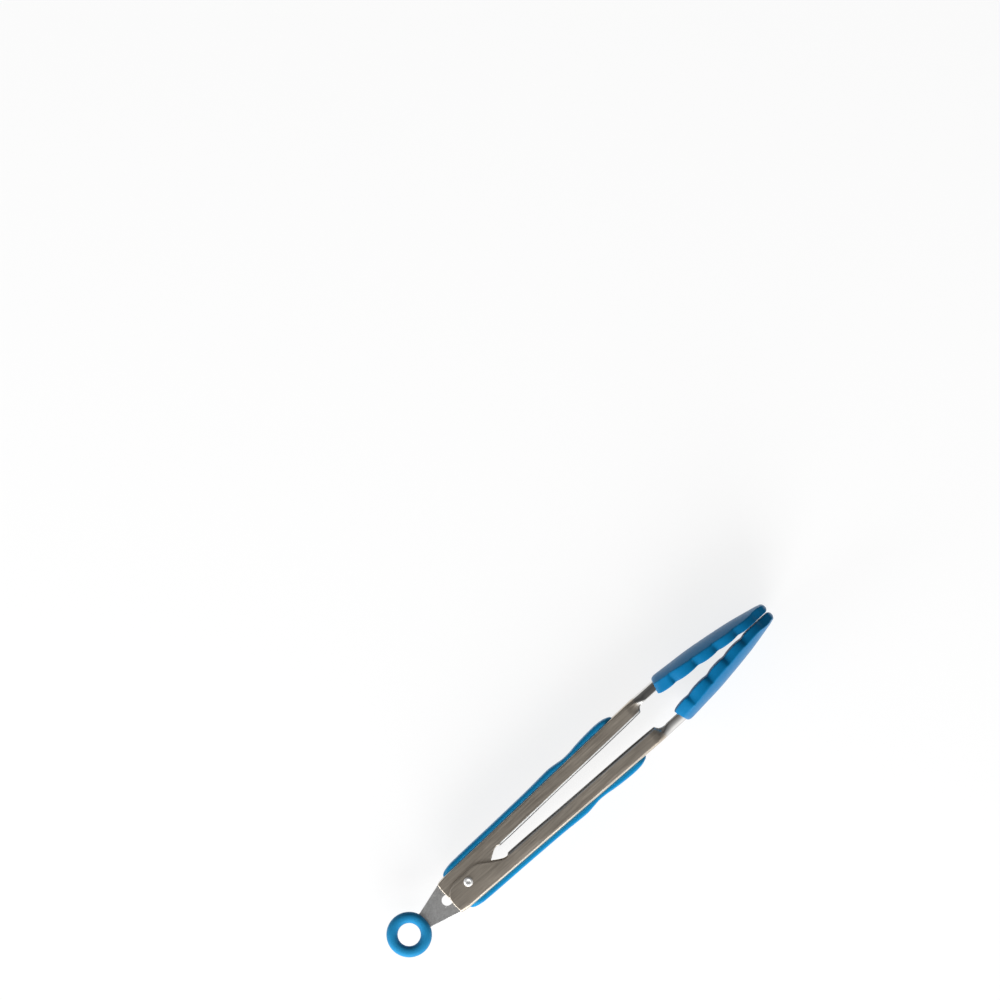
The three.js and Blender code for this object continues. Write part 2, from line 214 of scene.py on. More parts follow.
def arm_grid(wide, roll, bend):
    """The arm as closed U sections along x. Each section runs over the back, round the bend (a quarter
    ellipse, `fold` high and `across` wide), down the outside of the side wall, round its edge and back up
    the inside. The edge is a superellipse, taller by `roll` where it is rolled. The bend grows at the neck,
    the wall dips in at the shoulder before it, and the sheet thins to a rounded edge at the rear end."""
    x = spread((-11.95, -11.5, 8), (-11.5, -11, 4), (-11, -4, 14), (-4, 6, 5), (6, 9, 6), (9, 17, 6),
               (17, 24, 22), (24, 110, 36), (110, 121, 50), (121, 127.5, 8), (127.5, 131, 8),
               (131, TONGUE_END, 8))[:, None]
    broken = 0.4 * (1 - np.sqrt(1 - np.clip((-11.5 - x) / 0.46, 0, 1) ** 2))
    neck_top = through([(119, 12.36), (126, 12.3), (130, 12.3), (135, 12), (140, 11.6),
                        (TONGUE_END, 10.8)], x)
    top = np.where(x < 119, arm_top(x), neck_top)
    top = top - 0.6 * np.clip((-7 - x) / 5, 0, 1) ** 1.3 - broken
    half = through([(-13, wide), (110.5, wide), (113.5, wide - 0.3), (118.5, NECK_HALF + 0.45),
                    (121.5, NECK_HALF), (TONGUE_END, NECK_HALF)], x) - broken
    fold = through([(-13, bend), (111, bend), (116, 2.6), (121, 4.2), (129.8, 4.1), (132, 0.7),
                    (TONGUE_END, 0.7)], x)
    across = through([(-13, bend), (111, bend), (116, 1.8), (121, 2.6), (129.8, 2.5), (132, 0.7),
                      (TONGUE_END, 0.7)], x)
    sheet = SHEET - 2 * broken
    low = np.minimum(arm_edge(x), top - fold - 0.62)
    rolled = np.clip((x - 22.6) / 1.2, 0, 1) * np.clip((116.5 - x) / 1.5, 0, 1)
    bead = sheet / 2 + roll * rolled
    bead_half = sheet / 2 + 0.24 * rolled
    power = 2 / (2.3 - 1.0 * rolled)
    flat = np.array([0, 0.12, 0.3, 0.55, 0.8, 1.0])[None, :]
    turn = np.linspace(0, math.pi / 2, 9)[None, 1:]
    down = 1 - (1 - np.linspace(0, 1, 12)[None, 1:]) ** 1.5
    cap = np.linspace(0, math.pi, 13)[None, 1:-1]
    back_z, back_y = (half - across) * flat, top + 0 * flat
    bend_z, bend_y = half - across + across * np.sin(turn), top - fold + fold * np.cos(turn)
    wall_y = top - fold + (low + bead - top + fold) * down
    cap_z = half - bead_half + bead_half * np.sign(np.cos(cap)) * np.abs(np.cos(cap)) ** power
    cap_y = low + bead - bead * np.abs(np.sin(cap)) ** power
    inside_z, inside_y = (half - sheet + 0 * wall_y)[:, ::-1], wall_y[:, ::-1]
    thin_z = across - np.minimum(sheet, across * 0.9)
    thin_y = fold - np.minimum(sheet, fold * 0.9)
    under_z = (half - across + thin_z * np.sin(turn))[:, ::-1]
    under_y = (top - fold + thin_y * np.cos(turn))[:, ::-1] - np.maximum(0, sheet - fold * 0.9)
    belly_z, belly_y = back_z[:, ::-1], (top - sheet) + 0 * flat
    z = np.concatenate([back_z, bend_z, half + 0 * wall_y, cap_z, inside_z, under_z, belly_z], axis=1)
    y = np.concatenate([back_y, bend_y, wall_y, cap_y, inside_y, under_y, belly_y], axis=1)
    reach = np.clip((top - fold - y) / (top - fold - low), 0, 1)
    z = z - 1.0 * np.exp(-(((x - 116.6) / 2.2) ** 2)) * np.clip(1.5 * reach, 0, 1) ** 1.2
    bulge = -0.4 * np.clip(1 - ((y - 4.4) / 4.2) ** 2, 0, 1) * np.clip((-9 - x) / 3, 0, 1)
    right = np.stack([x + bulge, y, z], axis=-1)
    left = (right * [1, 1, -1])[:, ::-1]
    return np.concatenate([right, left], axis=1)


def thin_caps(columns, end_rows):
    """End faces of a folded section at the given rows: quads from the outer points to the inner ones that
    face them."""
    half = columns // 2
    edge = half // 2
    faces = []
    for row in end_rows:
        first = row * columns
        last = first + columns - 1
        for k in range(edge):
            a, b = k, half - 1 - k
            faces.append((first + a, first + a + 1, first + b - 1, first + b))
            faces.append((last - a, last - a - 1, last - b + 1, last - b))
    return [f for f in faces if len(set(f)) == 4]


def mirrored(grid):
    """The same points on the other side of the middle plane."""
    return grid * [1, -1, 1]


def cut_notch(arm, side):
    """Takes the notch for the lock plate's wings out of the rear end of the arm's back."""
    low = PIVOT + np.array(NOTCH_REAR) / 1000
    high = PIVOT + np.array(NOTCH_FRONT) / 1000
    if side < 0:
        low[1], high[1] = -high[1], -low[1]
    corners = [(x, y, z) for z in (low[2], high[2]) for y in (low[1], high[1]) for x in (low[0], high[0])]
    block = bpy.data.meshes.new("notch_tool")
    block.from_pydata(corners, [], [(0, 2, 3, 1), (4, 5, 7, 6), (0, 1, 5, 4), (2, 6, 7, 3), (0, 4, 6, 2),
                                    (1, 3, 7, 5)])
    tool = bpy.data.objects.new("notch_tool", block)
    bpy.context.collection.objects.link(tool)
    cut = arm.modifiers.new("notch", "BOOLEAN")
    cut.object = tool
    cut.operation = "DIFFERENCE"
    cut.solver = "EXACT"
    done = bpy.data.meshes.new_from_object(arm.evaluated_get(bpy.context.evaluated_depsgraph_get()))
    arm.modifiers.remove(cut)
    arm.data = done
    arm.data.set_sharp_from_angle(angle=SMOOTH_LIMIT)
    bpy.data.objects.remove(tool)


def grain_group():
    """Drawn or brushed grain: fine noise stretched along x, and a slow cloud beside it."""
    group = bpy.data.node_groups.new("drawn_grain", "ShaderNodeTree")
    for label, value in (("Along", 18), ("Across", 2600)):
        group.interface.new_socket(label, in_out="INPUT", socket_type="NodeSocketFloat").default_value = value
    for label in ("Streaks", "Cloud"):
        group.interface.new_socket(label, in_out="OUTPUT", socket_type="NodeSocketFloat")
    given = group.nodes.new("NodeGroupInput")
    result = group.nodes.new("NodeGroupOutput")
    place = add(group, "ShaderNodeTexCoord").outputs["Object"]
    stretch = add(group, "ShaderNodeCombineXYZ", {"X": given.outputs["Along"], "Y": given.outputs["Across"],
                                                  "Z": given.outputs["Across"]})
    drawn = add(group, "ShaderNodeVectorMath", {0: place, 1: stretch.outputs[0]}, operation="MULTIPLY")
    fine = add(group, "ShaderNodeTexNoise", {
        "Vector": drawn.outputs[0], "Scale": 1.0, "Detail": 3.0, "Roughness": 0.7})
    slow = add(group, "ShaderNodeTexNoise", {
        "Vector": place, "Scale": 55.0, "Detail": 4.0, "Roughness": 0.55})
    group.links.new(fine.outputs["Fac"], result.inputs["Streaks"])
    group.links.new(slow.outputs["Fac"], result.inputs["Cloud"])
    return group


GRAIN = grain_group()


def edge_wear_and_highlight_group():
    """Bright edges, rubbed wear on the steel and a painted highlight on the silicone: a mask of the sharp
    convex places, broken up by noise.
    """
    group = bpy.data.node_groups.new("edge_rub_and_highlight", "ShaderNodeTree")
    for label, value in (("From", 0.52), ("To", 0.56)):
        group.interface.new_socket(label, in_out="INPUT", socket_type="NodeSocketFloat").default_value = value
    group.interface.new_socket("Edge", in_out="OUTPUT", socket_type="NodeSocketFloat")
    given = group.nodes.new("NodeGroupInput")
    result = group.nodes.new("NodeGroupOutput")
    sharp = add(group, "ShaderNodeNewGeometry")
    band = add(group, "ShaderNodeMapRange", {
        "Value": sharp.outputs["Pointiness"], "From Min": given.outputs["From"],
        "From Max": given.outputs["To"]})
    place = add(group, "ShaderNodeTexCoord")
    noise = add(group, "ShaderNodeTexNoise", {
        "Vector": place.outputs["Object"], "Scale": 420.0, "Detail": 3.0})
    broken = add(group, "ShaderNodeMapRange", {
        "Value": noise.outputs["Fac"], "From Min": 0.3, "From Max": 0.65, "To Min": 0.8})
    both = add(group, "ShaderNodeMath", {
        0: band.outputs["Result"], 1: broken.outputs["Result"]}, operation="MULTIPLY")
    group.links.new(both.outputs[0], result.inputs["Edge"])
    return group


EDGE_RUB_AND_HIGHLIGHT = edge_wear_and_highlight_group()


def mix_colours(tree, share, low, high):
    """Colour between low (share 0) and high (share 1). Either is a colour or another node's output."""
    mix = add(tree, "ShaderNodeMix", {"Factor": share, 6: low, 7: high}, data_type="RGBA")
    return mix.outputs[2]


def brushed_arm_steel():
    """Satin stainless with grain along the arm. It turns to a mirror polish on the neck, and the long inner
    edge has a buffed roll with a dark line painted at its lip, painted shade standing in for the dark
    reflection there, found by the height over the line of that edge."""
    material = bpy.data.materials.new("brushed_arm_steel")
    material.use_nodes = True
    tree = material.node_tree
    skin = tree.nodes["Principled BSDF"]
    skin.inputs["Metallic"].default_value = 1.0
    grain = add(tree, "ShaderNodeGroup", {"Along": 60, "Across": 1700}, node_tree=GRAIN)
    rub = add(tree, "ShaderNodeGroup", node_tree=EDGE_RUB_AND_HIGHLIGHT)
    place = add(tree, "ShaderNodeTexCoord")
    parts = add(tree, "ShaderNodeSeparateXYZ", {"Vector": place.outputs["Object"]})
    neck_at = PIVOT[0] + NECK_START / 1000
    polish = add(tree, "ShaderNodeMapRange", {
        "Value": parts.outputs["X"], "From Min": neck_at - 0.002, "From Max": neck_at + 0.0003},
        interpolation_type="SMOOTHSTEP")
    along = add(tree, "ShaderNodeMath", {0: parts.outputs["X"], 1: PIVOT[0]}, operation="SUBTRACT")
    edge_line = add(tree, "ShaderNodeMath", {
        0: along.outputs[0], 1: EDGE_RISE, 2: EDGE_AT_PIVOT / 1000}, operation="MULTIPLY_ADD")
    off_axis = add(tree, "ShaderNodeMath", {0: parts.outputs["Y"]}, operation="ABSOLUTE")
    over_edge = add(tree, "ShaderNodeMath", {
        0: off_axis.outputs[0], 1: edge_line.outputs[0]}, operation="SUBTRACT")
    near_edge = add(tree, "ShaderNodeMapRange", {
        "Value": over_edge.outputs[0], "From Min": 0.00105, "From Max": 0.00085})
    past_crotch = add(tree, "ShaderNodeMapRange", {
        "Value": along.outputs[0], "From Min": 0.022, "From Max": 0.024})
    rolled = add(tree, "ShaderNodeMath", {
        0: near_edge.outputs["Result"], 1: past_crotch.outputs["Result"]}, operation="MULTIPLY")
    buffed = add(tree, "ShaderNodeMath", {
        0: rolled.outputs[0], 1: polish.outputs["Result"]}, operation="MAXIMUM")
    tint = add(tree, "ShaderNodeValToRGB", {"Fac": grain.outputs["Streaks"]})
    tint.color_ramp.elements[0].position = 0.3
    tint.color_ramp.elements[0].color = (0.45, 0.385, 0.31, 1)
    tint.color_ramp.elements[1].position = 0.72
    tint.color_ramp.elements[1].color = (0.78, 0.685, 0.575, 1)
    cloudy = mix_colours(tree, grain.outputs["Cloud"], tint.outputs["Color"], (0.62, 0.565, 0.49, 1))
    neck_or_edge = mix_colours(tree, polish.outputs["Result"], (0.66, 0.67, 0.67, 1), (0.74, 0.73, 0.71, 1))
    cleaned = mix_colours(tree, buffed.outputs[0], cloudy, neck_or_edge)
    bright = mix_colours(tree, rub.outputs["Edge"], cleaned, (0.90, 0.90, 0.90, 1))
    # Painted shade: a near black line along the lowest quarter millimetre of the rolled edge, standing in for
    # the dark reflection at its lip.
    painted_dark_line_mask = add(tree, "ShaderNodeMapRange", {
        "Value": over_edge.outputs[0], "From Min": 0.00036, "From Max": 0.00026})
    cut = add(tree, "ShaderNodeMath", {
        0: painted_dark_line_mask.outputs["Result"], 1: past_crotch.outputs["Result"]}, operation="MULTIPLY")
    with_painted_dark_line = mix_colours(tree, cut.outputs[0], bright, (0.18, 0.175, 0.17, 1))
    tree.links.new(with_painted_dark_line, skin.inputs["Base Color"])
    rough = add(tree, "ShaderNodeMapRange", {
        "Value": grain.outputs["Streaks"], "From Min": 0.3, "From Max": 0.7, "To Min": 0.30, "To Max": 0.46})
    smooth = add(tree, "ShaderNodeMapRange", {
        "Value": grain.outputs["Cloud"], "To Min": 0.07, "To Max": 0.15})
    finish = add(tree, "ShaderNodeMix", {
        "Factor": polish.outputs["Result"], "A": rough.outputs["Result"], "B": smooth.outputs["Result"]})
    tree.links.new(finish.outputs[0], skin.inputs["Roughness"])
    dull = add(tree, "ShaderNodeMapRange", {
        "Value": polish.outputs["Result"], "To Min": 0.000012, "To Max": 0.0})
    relief = add(tree, "ShaderNodeMath", {
        0: grain.outputs["Streaks"], 1: dull.outputs["Result"]}, operation="MULTIPLY")
    bump = add(tree, "ShaderNodeBump", {"Height": relief.outputs[0], "Strength": 0.6, "Distance": 1.0})
    tree.links.new(bump.outputs["Normal"], skin.inputs["Normal"])
    return material


ARM_STEEL = brushed_arm_steel()
for name, side, wide, roll, bend in (
        ("upper_arm", 1, NESTED_HALF, 0.7, 0.8),
        ("lower_arm", -1, ARM_HALF, 0.3, 1.3)):
    points = arm_grid(wide, roll, bend)
    if side < 0:
        points = mirrored(points)
    arm = surface(name + "_sheet", points, extra=thin_caps(points.shape[1], (0, points.shape[0] - 1)))
    cut_notch(arm, side)
    arm.data.materials.clear()
    arm.data.materials.append(ARM_STEEL)
    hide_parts(name)
    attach(arm, name + "_body")

# ---- Grips -----------------------------------------------------------------------------------------
# Soft silicone pads on the arms' backs, moulded with a thumb dip and a raised front lobe.
# Three studs moulded under each pad are pressed through the sheet and spread behind it.

GRIP_HALF = 7.8
STUDS = (8, 50, 92)


def grip_grid():
    """The pad as closed sections along x: a flat foot on the sheet and a crown that is a rounded box in
    section, with the plan narrowing and the crown falling to the foot at both ends."""
    x = spread((-7.3, -5.5, 10), (-5.5, 0, 12), (0, 60, 24), (60, 96, 36), (96, 102, 16),
               (102, 103, 8))[:, None]
    crown = through([(-7.3, 9.9), (-6.8, 10.5), (-5.4, 11.25), (-3, 11.85), (0.5, 12.25), (27, 12.8),
                     (50, 13.4), (58, 13.85), (64, 14.1), (68, 13.7), (73, 13.15), (77, 13.35), (81, 13.9),
                     (88, 14.5), (94, 14.74), (98, 14.5), (101, 13.7), (102.6, 12.9), (103, 12.3)], x)
    rear = np.sqrt(np.clip(1 - np.clip((0.5 - x) / 8.8, 0, 1) ** 2.6, 0, 1))
    front = np.sqrt(np.clip(1 - np.clip((x - 96.5) / 7.4, 0, 1) ** 2.6, 0, 1))
    half = GRIP_HALF * rear * front
    foot = arm_top(x) - 0.05
    rise = np.maximum(crown - foot, 0.02)
    turn = np.linspace(0, math.pi, 41)[None, :]
    z = half * np.sign(np.cos(turn)) * np.abs(np.cos(turn)) ** 0.32
    y = foot + rise * np.abs(np.sin(turn)) ** 0.42
    sole = np.linspace(-1, 1, 13)[None, 1:-1]
    z = np.concatenate([z, half * sole], axis=1)
    y = np.concatenate([y, foot + 0 * sole], axis=1)
    rows = np.stack([x + 0 * z, y, z], axis=-1)
    first = np.repeat(rows[:1].mean(axis=1, keepdims=True), rows.shape[1], axis=1)
    last = np.repeat(rows[-1:].mean(axis=1, keepdims=True), rows.shape[1], axis=1)
    return np.concatenate([first, rows, last])


def stud_grid(x):
    """A moulded stud: a profile of (radius, height) turned round a line along y through the sheet at x."""
    web = arm_top(x) - SHEET
    profile = np.array([(0, 1.2), (1.6, 1.2), (1.6, -0.05), (2.3, -0.2), (2.6, -0.5), (2.5, -0.9),
                        (1.9, -1.15), (0, -1.2)])
    turn = np.linspace(0, 2 * math.pi, 32, endpoint=False)[None, :]
    radius, height = profile[:, :1], profile[:, 1:]
    return np.stack([x + radius * np.cos(turn), web + height + 0 * turn, radius * np.sin(turn)], axis=-1)


def speck_group():
    """Moulded skin: fine pits, a slow cloud, and a few dust specks where the cloud is thick."""
    group = bpy.data.node_groups.new("moulded_skin", "ShaderNodeTree")
    group.interface.new_socket("Scale", in_out="INPUT", socket_type="NodeSocketFloat").default_value = 900
    for label in ("Pits", "Dust", "Cloud"):
        group.interface.new_socket(label, in_out="OUTPUT", socket_type="NodeSocketFloat")
    given = group.nodes.new("NodeGroupInput")
    result = group.nodes.new("NodeGroupOutput")
    place = add(group, "ShaderNodeTexCoord").outputs["Object"]
    pits = add(group, "ShaderNodeTexNoise", {
        "Vector": place, "Scale": given.outputs["Scale"], "Detail": 4.0, "Roughness": 0.6})
    lint = add(group, "ShaderNodeTexVoronoi", {"Vector": place, "Scale": 420.0, "Randomness": 1.0})
    dust = add(group, "ShaderNodeMapRange", {
        "Value": lint.outputs["Distance"], "From Min": 0.10, "From Max": 0.03})
    cloud = add(group, "ShaderNodeTexNoise", {
        "Vector": place, "Scale": 60.0, "Detail": 5.0, "Roughness": 0.6})
    thin = add(group, "ShaderNodeMapRange", {
        "Value": cloud.outputs["Fac"], "From Min": 0.5, "From Max": 0.75})
    some = add(group, "ShaderNodeMath", {
        0: dust.outputs["Result"], 1: thin.outputs["Result"]}, operation="MULTIPLY")
    group.links.new(pits.outputs["Fac"], result.inputs["Pits"])
    group.links.new(some.outputs[0], result.inputs["Dust"])
    group.links.new(cloud.outputs["Fac"], result.inputs["Cloud"])
    return group


MOULDED_SKIN = speck_group()


def blue_silicone(name, deep, pale, rough, sheen):
    """Satin silicone: two close blues clouded together, a paler blue painted on sharp creases and edges as a
    painted highlight, pale dust, pitted skin and a little sheen.
    """
    material = bpy.data.materials.new(name)
    material.use_nodes = True
    tree = material.node_tree
    skin = tree.nodes["Principled BSDF"]
    look = add(tree, "ShaderNodeGroup", node_tree=MOULDED_SKIN)
    mixed = mix_colours(tree, look.outputs["Cloud"], (*deep, 1), (*pale, 1))
    rub = add(tree, "ShaderNodeGroup", node_tree=EDGE_RUB_AND_HIGHLIGHT)
    # Painted highlight: a paler blue on the sharp creases and edges, standing in for the light lines along
    # them.
    painted_crease_highlight = add(tree, "ShaderNodeMath", {0: rub.outputs["Edge"], 1: 0.4}, operation="MULTIPLY")
    edged = mix_colours(tree, painted_crease_highlight.outputs[0], mixed, (0.10, 0.42, 0.68, 1))
    faint = add(tree, "ShaderNodeMath", {0: look.outputs["Dust"], 1: 0.25}, operation="MULTIPLY")
    dusty = mix_colours(tree, faint.outputs[0], edged, (0.5, 0.6, 0.66, 1))
    tree.links.new(dusty, skin.inputs["Base Color"])
    satin = add(tree, "ShaderNodeMapRange", {
        "Value": look.outputs["Pits"], "From Min": 0.3, "From Max": 0.7,
        "To Min": rough - 0.07, "To Max": rough + 0.07})
    tree.links.new(satin.outputs["Result"], skin.inputs["Roughness"])
    bump = add(tree, "ShaderNodeBump", {
        "Height": look.outputs["Pits"], "Strength": 0.12, "Distance": 0.00006})
    tree.links.new(bump.outputs["Normal"], skin.inputs["Normal"])
    skin.inputs["Specular IOR Level"].default_value = 0.10
    skin.inputs["Sheen Weight"].default_value = sheen
    skin.inputs["Sheen Roughness"].default_value = 0.5
    skin.inputs["IOR"].default_value = 1.41
    return material


SILICONE = blue_silicone("blue_silicone", (0.001, 0.170, 0.390), (0.005, 0.225, 0.460), 0.36, 0.05)
for name, side in (("upper", 1), ("lower", -1)):
    pad_points = grip_grid()
    stud_points = [stud_grid(x) for x in STUDS]
    if side < 0:
        pad_points = mirrored(pad_points)
        stud_points = [mirrored(g) for g in stud_points]
    pad = surface(name + "_grip_pad", pad_points)
    pad.data.materials.append(SILICONE)
    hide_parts(name + "_grip")
    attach(pad, name + "_arm_body")
    for number, points in enumerate(stud_points, 1):
        stud = surface(f"{name}_grip_stud_{number}", points)
        stud.data.materials.append(SILICONE)
        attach(stud, name + "_arm_body")

# ---- Heads -----------------------------------------------------------------------------------------
# Scalloped silicone heads moulded over a stiff nylon core and the arm's steel tongue.
# Each is a shallow cup: a domed back, upright lobed side walls and a rounded gripping edge.

HEAD_START = 127.3
LEAN_END = 136
DOME_START = 191
TIP = 193
VALLEYS = (137.5, 150.4, 162.2, 174.2, 186.3)


def valley_depth(x, before, after):
    """1 at each valley of the scallops, falling off like a hyperbolic secant over `before` mm on the side
    towards the hinge and over `after` mm on the side towards the tip."""
    off = x[..., None] - np.array(VALLEYS)
    return (1 / np.cosh(off / np.where(off < 0, before, after))).sum(axis=-1)


def head_grid():
    """The head as closed sections along x: over the low arch of the back, round a crease, down the side wall,
    round the gripping edge and across the cup. Each valley narrows the section. The tip closes like a dome,
    and the near end leans forward towards the back."""
    dome = np.linspace(0, math.pi / 2, 14)[1:]
    x = spread((HEAD_START, 130, 12), (130, DOME_START, 170))
    x = np.concatenate([x, np.full(len(dome), DOME_START)])[:, None]
    back = through([(127.2, 12.55), (127.9, 13.3), (130, 13.75), (135, 13.5), (140, 13.1), (150, 12.3),
                    (160, 11), (170, 9.5), (175.5, 8.55), (180, 7.6), (185, 6.5), (189.9, 5.35),
                    (DOME_START, 4.95)], x)
    side = through([(127, 10.9), (139, 9.5), (151.5, 7.6), (162, 6.4), (174.8, 4.95), (183, 4.4), (188, 4.6),
                    (DOME_START, 4.1)], x)
    edge = through([(127, 6.2), (128.5, 5.3), (132, 4.5), (141, 3.5), (150, 2.8), (155, 2.2), (164, 1.4),
                    (174, 0.6), (178, 0.3), (DOME_START, 0.3)], x)
    half = through([(127, 10.2), (127.6, 10.9), (132, 13.2), (138, 15.5), (146, 16.7), (155.8, 16.95),
                    (168, 16.6), (178, 15), (185, 12.6), (189, 10.2), (DOME_START, 8.4)], x)
    side = side + 0.15 * valley_depth(x, 0.8, 3.5)
    edge = edge + 0.55 * valley_depth(x, 1.6, 1.6) * (x < 180)
    cup = np.maximum(back - 5.8, edge + 0.25)
    turn = np.linspace(0, math.pi / 2, 15)[None, :]
    arch_z = 0.975 * half * np.sin(turn)
    arch_y = side + (back - side) * (1 - 0.96 * np.sin(turn) ** 2)
    crease_z = half * np.array([0.987, 0.996, 1.0])[None, :]
    crease_y = side + np.minimum(1, (side - edge) / 4) * np.array([0.02, -0.2, -0.5])[None, :]
    round_edge = np.minimum(0.5, (side - edge) * 0.2)
    fall = np.linspace(0, 1, 9)[None, 1:]
    foot = crease_y[:, -1:]
    wall_z = half + 0 * fall
    wall_y = foot + (edge + round_edge - foot) * fall
    curl = np.linspace(0, math.pi / 2, 7)[None, 1:]
    curl_z = half - round_edge + round_edge * np.cos(curl)
    curl_y = edge + round_edge - round_edge * np.sin(curl)
    inner = np.linspace(1, 0, 14)[None, 1:]
    inner_z = (half - round_edge) * inner
    depth = np.clip((1 - inner) / 0.85, 0, 1)
    inner_y = edge + (cup - edge) * depth ** 1.6 * (2.2 - 1.2 * depth)
    z = np.concatenate([arch_z, crease_z, wall_z, curl_z, inner_z], axis=1)
    y = np.concatenate([arch_y, crease_y, wall_y, curl_y, inner_y], axis=1)
    fade = np.clip(0.25 + 0.75 * (side + 0.4 - y) / (side - edge), 0.25, 1)
    z = z * (1 - 1.5 * fade * valley_depth(x, 1.0, 2.9) / half)
    lean = 2.0 * np.clip((y - 6) / 7, 0, 1) * np.clip((LEAN_END - x) / (LEAN_END - HEAD_START), 0, 1)
    right = np.stack([x + lean, y, z], axis=-1)
    left = (right * [1, 1, -1])[:, ::-1]
    rows = np.concatenate([right, left], axis=1)
    middle = rows[-1:].mean(axis=1, keepdims=True)
    tail = len(dome)
    shrink = np.cos(dome)[:, None, None]
    rows[-tail:] = middle + (rows[-tail:] - middle) * shrink
    rows[-tail:, :, 0] += (TIP - DOME_START) * np.sin(dome)[:, None]
    return rows


SILICONE_HEAD = blue_silicone(
    "blue_silicone_head", (0.001, 0.122, 0.300), (0.003, 0.165, 0.365), 0.33, 0.03)
for name, side in (("upper", 1), ("lower", -1)):
    points = head_grid()
    if side < 0:
        points = mirrored(points)
    head = surface(name + "_head_cover", points, extra=thin_caps(points.shape[1], (0,)))
    head.data.set_sharp_from_angle(angle=SMOOTH_LIMIT)
    head.data.materials.append(SILICONE_HEAD)
    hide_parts(name + "_head")
    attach(head, name + "_arm_body")

# ---- Head cores ------------------------------------------------------------------------------------
# Dark nylon tongues inside the heads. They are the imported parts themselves, given a moulded nylon finish.
# Nothing of them shows while the silicone is on.


def dark_nylon():
    """Matte dark nylon with a slight cloud in its colour and gloss."""
    material = bpy.data.materials.new("dark_nylon")
    material.use_nodes = True
    tree = material.node_tree
    skin = tree.nodes["Principled BSDF"]
    look = add(tree, "ShaderNodeGroup", node_tree=MOULDED_SKIN)
    mixed = mix_colours(tree, look.outputs["Cloud"], (0.018, 0.018, 0.02, 1), (0.04, 0.04, 0.043, 1))
    tree.links.new(mixed, skin.inputs["Base Color"])
    satin = add(tree, "ShaderNodeMapRange", {"Value": look.outputs["Pits"], "To Min": 0.42, "To Max": 0.66})
    tree.links.new(satin.outputs["Result"], skin.inputs["Roughness"])
    bump = add(tree, "ShaderNodeBump", {"Height": look.outputs["Pits"], "Strength": 0.2, "Distance": 0.00008})
    tree.links.new(bump.outputs["Normal"], skin.inputs["Normal"])
    return material


NYLON = dark_nylon()
for node in ("upper_head_core", "lower_head_core"):
    core = frame["nodes"][node]
    core.data.materials.clear()
    core.data.materials.append(NYLON)

# ---- Hinge: rivet, washer, sleeve, collar and slide washers ----------------------------------------
# A steel rivet with a dimpled head joins the four ears, spread over a washer on the far side.
# Round it are a nylon sleeve, a collar, and a thin washer on each side of the lock plate.

PLATE = 1.2
GAP = 0.3
WASHER = 0.5
SHANK_R = 1.5
HOLE_R = 1.8
SLEEVE_R = 2.3
TAIL_WASHER_R = 3.6
COLLAR_R = 4.4
SLIDE_WASHER_R = 5
TURNED_SIDES = 64
STACK_END = NESTED_HALF - SHEET - GAP


def turned(name, profile, centre_x=0.0):
    """A turned piece: a profile of (radius, height) carried round the rivet's axis."""
    radius, height = np.array(profile, float).T[:, :, None]
    turn = np.linspace(0, 2 * math.pi, TURNED_SIDES, endpoint=False)[None, :]
    grid = np.stack([centre_x + radius * np.cos(turn), radius * np.sin(turn), height + 0 * turn], axis=-1)
    closed = radius[0, 0] > 0
    return surface(name, grid, wrap_rows=closed)


def ring_profile(inner, outer, low, high, round_edge=0.12):
    """Section of a plain ring with its four corners broken."""
    r = round_edge
    return [(inner, low + r), (inner + r, low), (outer - r, low), (outer, low + r),
            (outer, high - r), (outer - r, high), (inner + r, high), (inner, high - r)]


def plain_steel(name, tone, smoothest, roughest, along, across, metallic=1.0):
    """Stainless with a soft rolled or drawn grain, brighter where its edges are rubbed."""
    material = bpy.data.materials.new(name)
    material.use_nodes = True
    tree = material.node_tree
    skin = tree.nodes["Principled BSDF"]
    skin.inputs["Metallic"].default_value = metallic
    grain = add(tree, "ShaderNodeGroup", {"Along": along, "Across": across}, node_tree=GRAIN)
    rub = add(tree, "ShaderNodeGroup", node_tree=EDGE_RUB_AND_HIGHLIGHT)
    dark = tuple(c * 0.78 for c in tone)
    pale = tuple(min(1, c * 1.12) for c in tone)
    speckle = add(tree, "ShaderNodeMapRange", {
        "Value": grain.outputs["Streaks"], "From Min": 0.32, "From Max": 0.68})
    both = add(tree, "ShaderNodeMix", {
        "Factor": 0.6, "A": grain.outputs["Cloud"], "B": speckle.outputs["Result"]})
    mixed = mix_colours(tree, both.outputs[0], (*dark, 1), (*pale, 1))
    edged = mix_colours(tree, rub.outputs["Edge"], mixed, (0.85, 0.85, 0.84, 1))
    tree.links.new(edged, skin.inputs["Base Color"])
    roughness = add(tree, "ShaderNodeMapRange", {
        "Value": grain.outputs["Streaks"], "From Min": 0.25, "From Max": 0.75,
        "To Min": smoothest, "To Max": roughest})
    tree.links.new(roughness.outputs["Result"], skin.inputs["Roughness"])
    bump = add(tree, "ShaderNodeBump", {
        "Height": grain.outputs["Streaks"], "Strength": 0.25, "Distance": 0.00001})
    tree.links.new(bump.outputs["Normal"], skin.inputs["Normal"])
    return material
